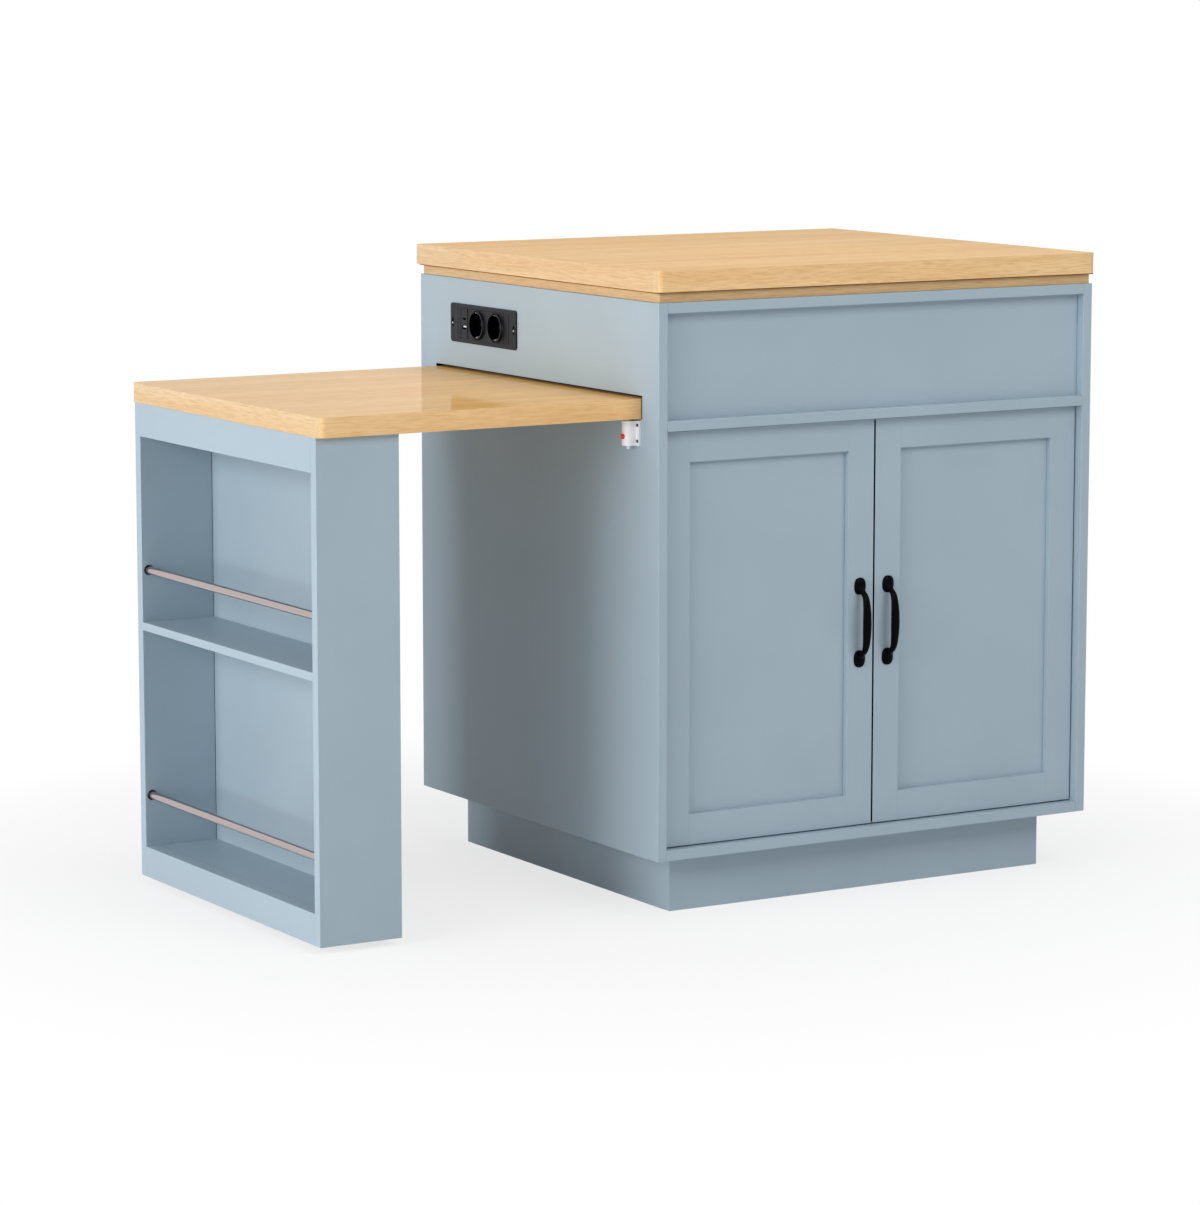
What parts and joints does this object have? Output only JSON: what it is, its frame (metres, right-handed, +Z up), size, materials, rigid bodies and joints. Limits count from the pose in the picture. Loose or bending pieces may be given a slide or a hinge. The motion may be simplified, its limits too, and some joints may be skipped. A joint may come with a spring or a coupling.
{
  "type": "kitchen island with pull-out table leaf",
  "caption": "Painted kitchen island with oak worktop, framed doors, side power outlet and a pull-out table leaf carried on an open shelf unit with wheels.",
  "frame": {"origin": "on the floor, under the middle of the whole object's box with the leaf pulled out", "axes": "+X from the pull-out leaf towards the cabinet's right side, +Y from the doors to the back, +Z up"},
  "size_m": [1.263, 0.701, 0.92],
  "materials": {
    "paint": "satin light grey-blue furniture paint on board",
    "oak": "clear-lacquered light oak, grain along X",
    "black_enamel": "satin black",
    "dark_plastic": "dark grey, fine matt",
    "white_plastic": "white",
    "red_plastic": "bright red",
    "rod_steel": "brushed",
    "nickel": "nickel plate",
    "wheel_rubber": "matt dark grey"
  },
  "bodies": {
    "cabinet": {"plinth_front": "paint", "plinth_back": "paint", "plinth_left": "paint", "plinth_right": "paint", "side_panel_left": "paint", "side_panel_right": "paint", "top_panel": "paint", "divider_panel": "paint", "shelf_board": "paint", "bottom_panel": "paint", "back_panel": "paint", "apron_panel": "paint", "worktop_underlay": "oak", "worktop_slab": "oak", "leaf_guide_front": "oak", "leaf_guide_back": "oak", "hinge_arm_left_upper": "nickel", "hinge_arm_left_lower": "nickel", "hinge_arm_right_upper": "nickel", "hinge_arm_right_lower": "nickel", "lock_housing": "white_plastic", "lock_spring": "rod_steel", "outlet_plate": "dark_plastic", "outlet_sockets": "dark_plastic", "outlet_usb": "dark_plastic", "outlet_box": "dark_plastic"},
    "door_left": {"door_left_panel": "paint", "door_left_stile_hinge": "paint", "door_left_stile_lock": "paint", "door_left_rail_top": "paint", "door_left_rail_bottom": "paint", "door_left_handle": "black_enamel", "door_left_hinge_cup_upper": "nickel", "door_left_hinge_cup_lower": "nickel"},
    "door_right": {"door_right_panel": "paint", "door_right_stile_hinge": "paint", "door_right_stile_lock": "paint", "door_right_rail_top": "paint", "door_right_rail_bottom": "paint", "door_right_handle": "black_enamel", "door_right_hinge_cup_upper": "nickel", "door_right_hinge_cup_lower": "nickel"},
    "extension": {"table_leaf": "oak", "leaf_stop": "oak", "leg_side_front": "paint", "leg_side_back": "paint", "leg_back_panel": "paint", "leg_fascia": "paint", "leg_kickboard": "paint", "leg_top_panel": "paint", "leg_middle_shelf": "paint", "leg_bottom_shelf": "paint", "leg_rod_upper": "rod_steel", "leg_rod_lower": "rod_steel", "wheel_fork_front": "nickel", "wheel_fork_back": "nickel"},
    "wheel_front_body": {"wheel_front": "wheel_rubber"},
    "wheel_back_body": {"wheel_back": "wheel_rubber"},
    "lock_bolt_body": {"lock_bolt": "white_plastic"},
    "lock_button_body": {"lock_button": "red_plastic"}
  },
  "joints": [
    {"name": "leaf_slide", "type": "slide", "parent": "cabinet", "child": "extension", "axis": [1, 0, 0], "range_m": [0, 0.355]},
    {"name": "door_left_hinge", "type": "hinge", "parent": "cabinet", "child": "door_left", "pos_m": [-0.1025, -0.326, 0.3975], "axis": [0, 0, -1], "range_deg": [0, 95]},
    {"name": "door_right_hinge", "type": "hinge", "parent": "cabinet", "child": "door_right", "pos_m": [0.6055, -0.326, 0.3975], "axis": [0, 0, 1], "range_deg": [0, 95]},
    {"name": "wheel_front_spin", "type": "hinge", "parent": "extension", "child": "wheel_front_body", "pos_m": [-0.565, -0.2085, 0.018], "axis": [0, 1, 0], "continuous": true},
    {"name": "wheel_back_spin", "type": "hinge", "parent": "extension", "child": "wheel_back_body", "pos_m": [-0.565, 0.2115, 0.018], "axis": [0, 1, 0], "continuous": true},
    {"name": "lock_bolt_slide", "type": "slide", "parent": "cabinet", "child": "lock_bolt_body", "axis": [0, 0, 1], "range_m": [0, 0.008], "deforming": ["lock_spring"]},
    {"name": "lock_button_push", "type": "slide", "parent": "cabinet", "child": "lock_button_body", "axis": [1, 0, 0], "range_m": [0, 0.002], "stiffness_N_per_m": 200}
  ]
}
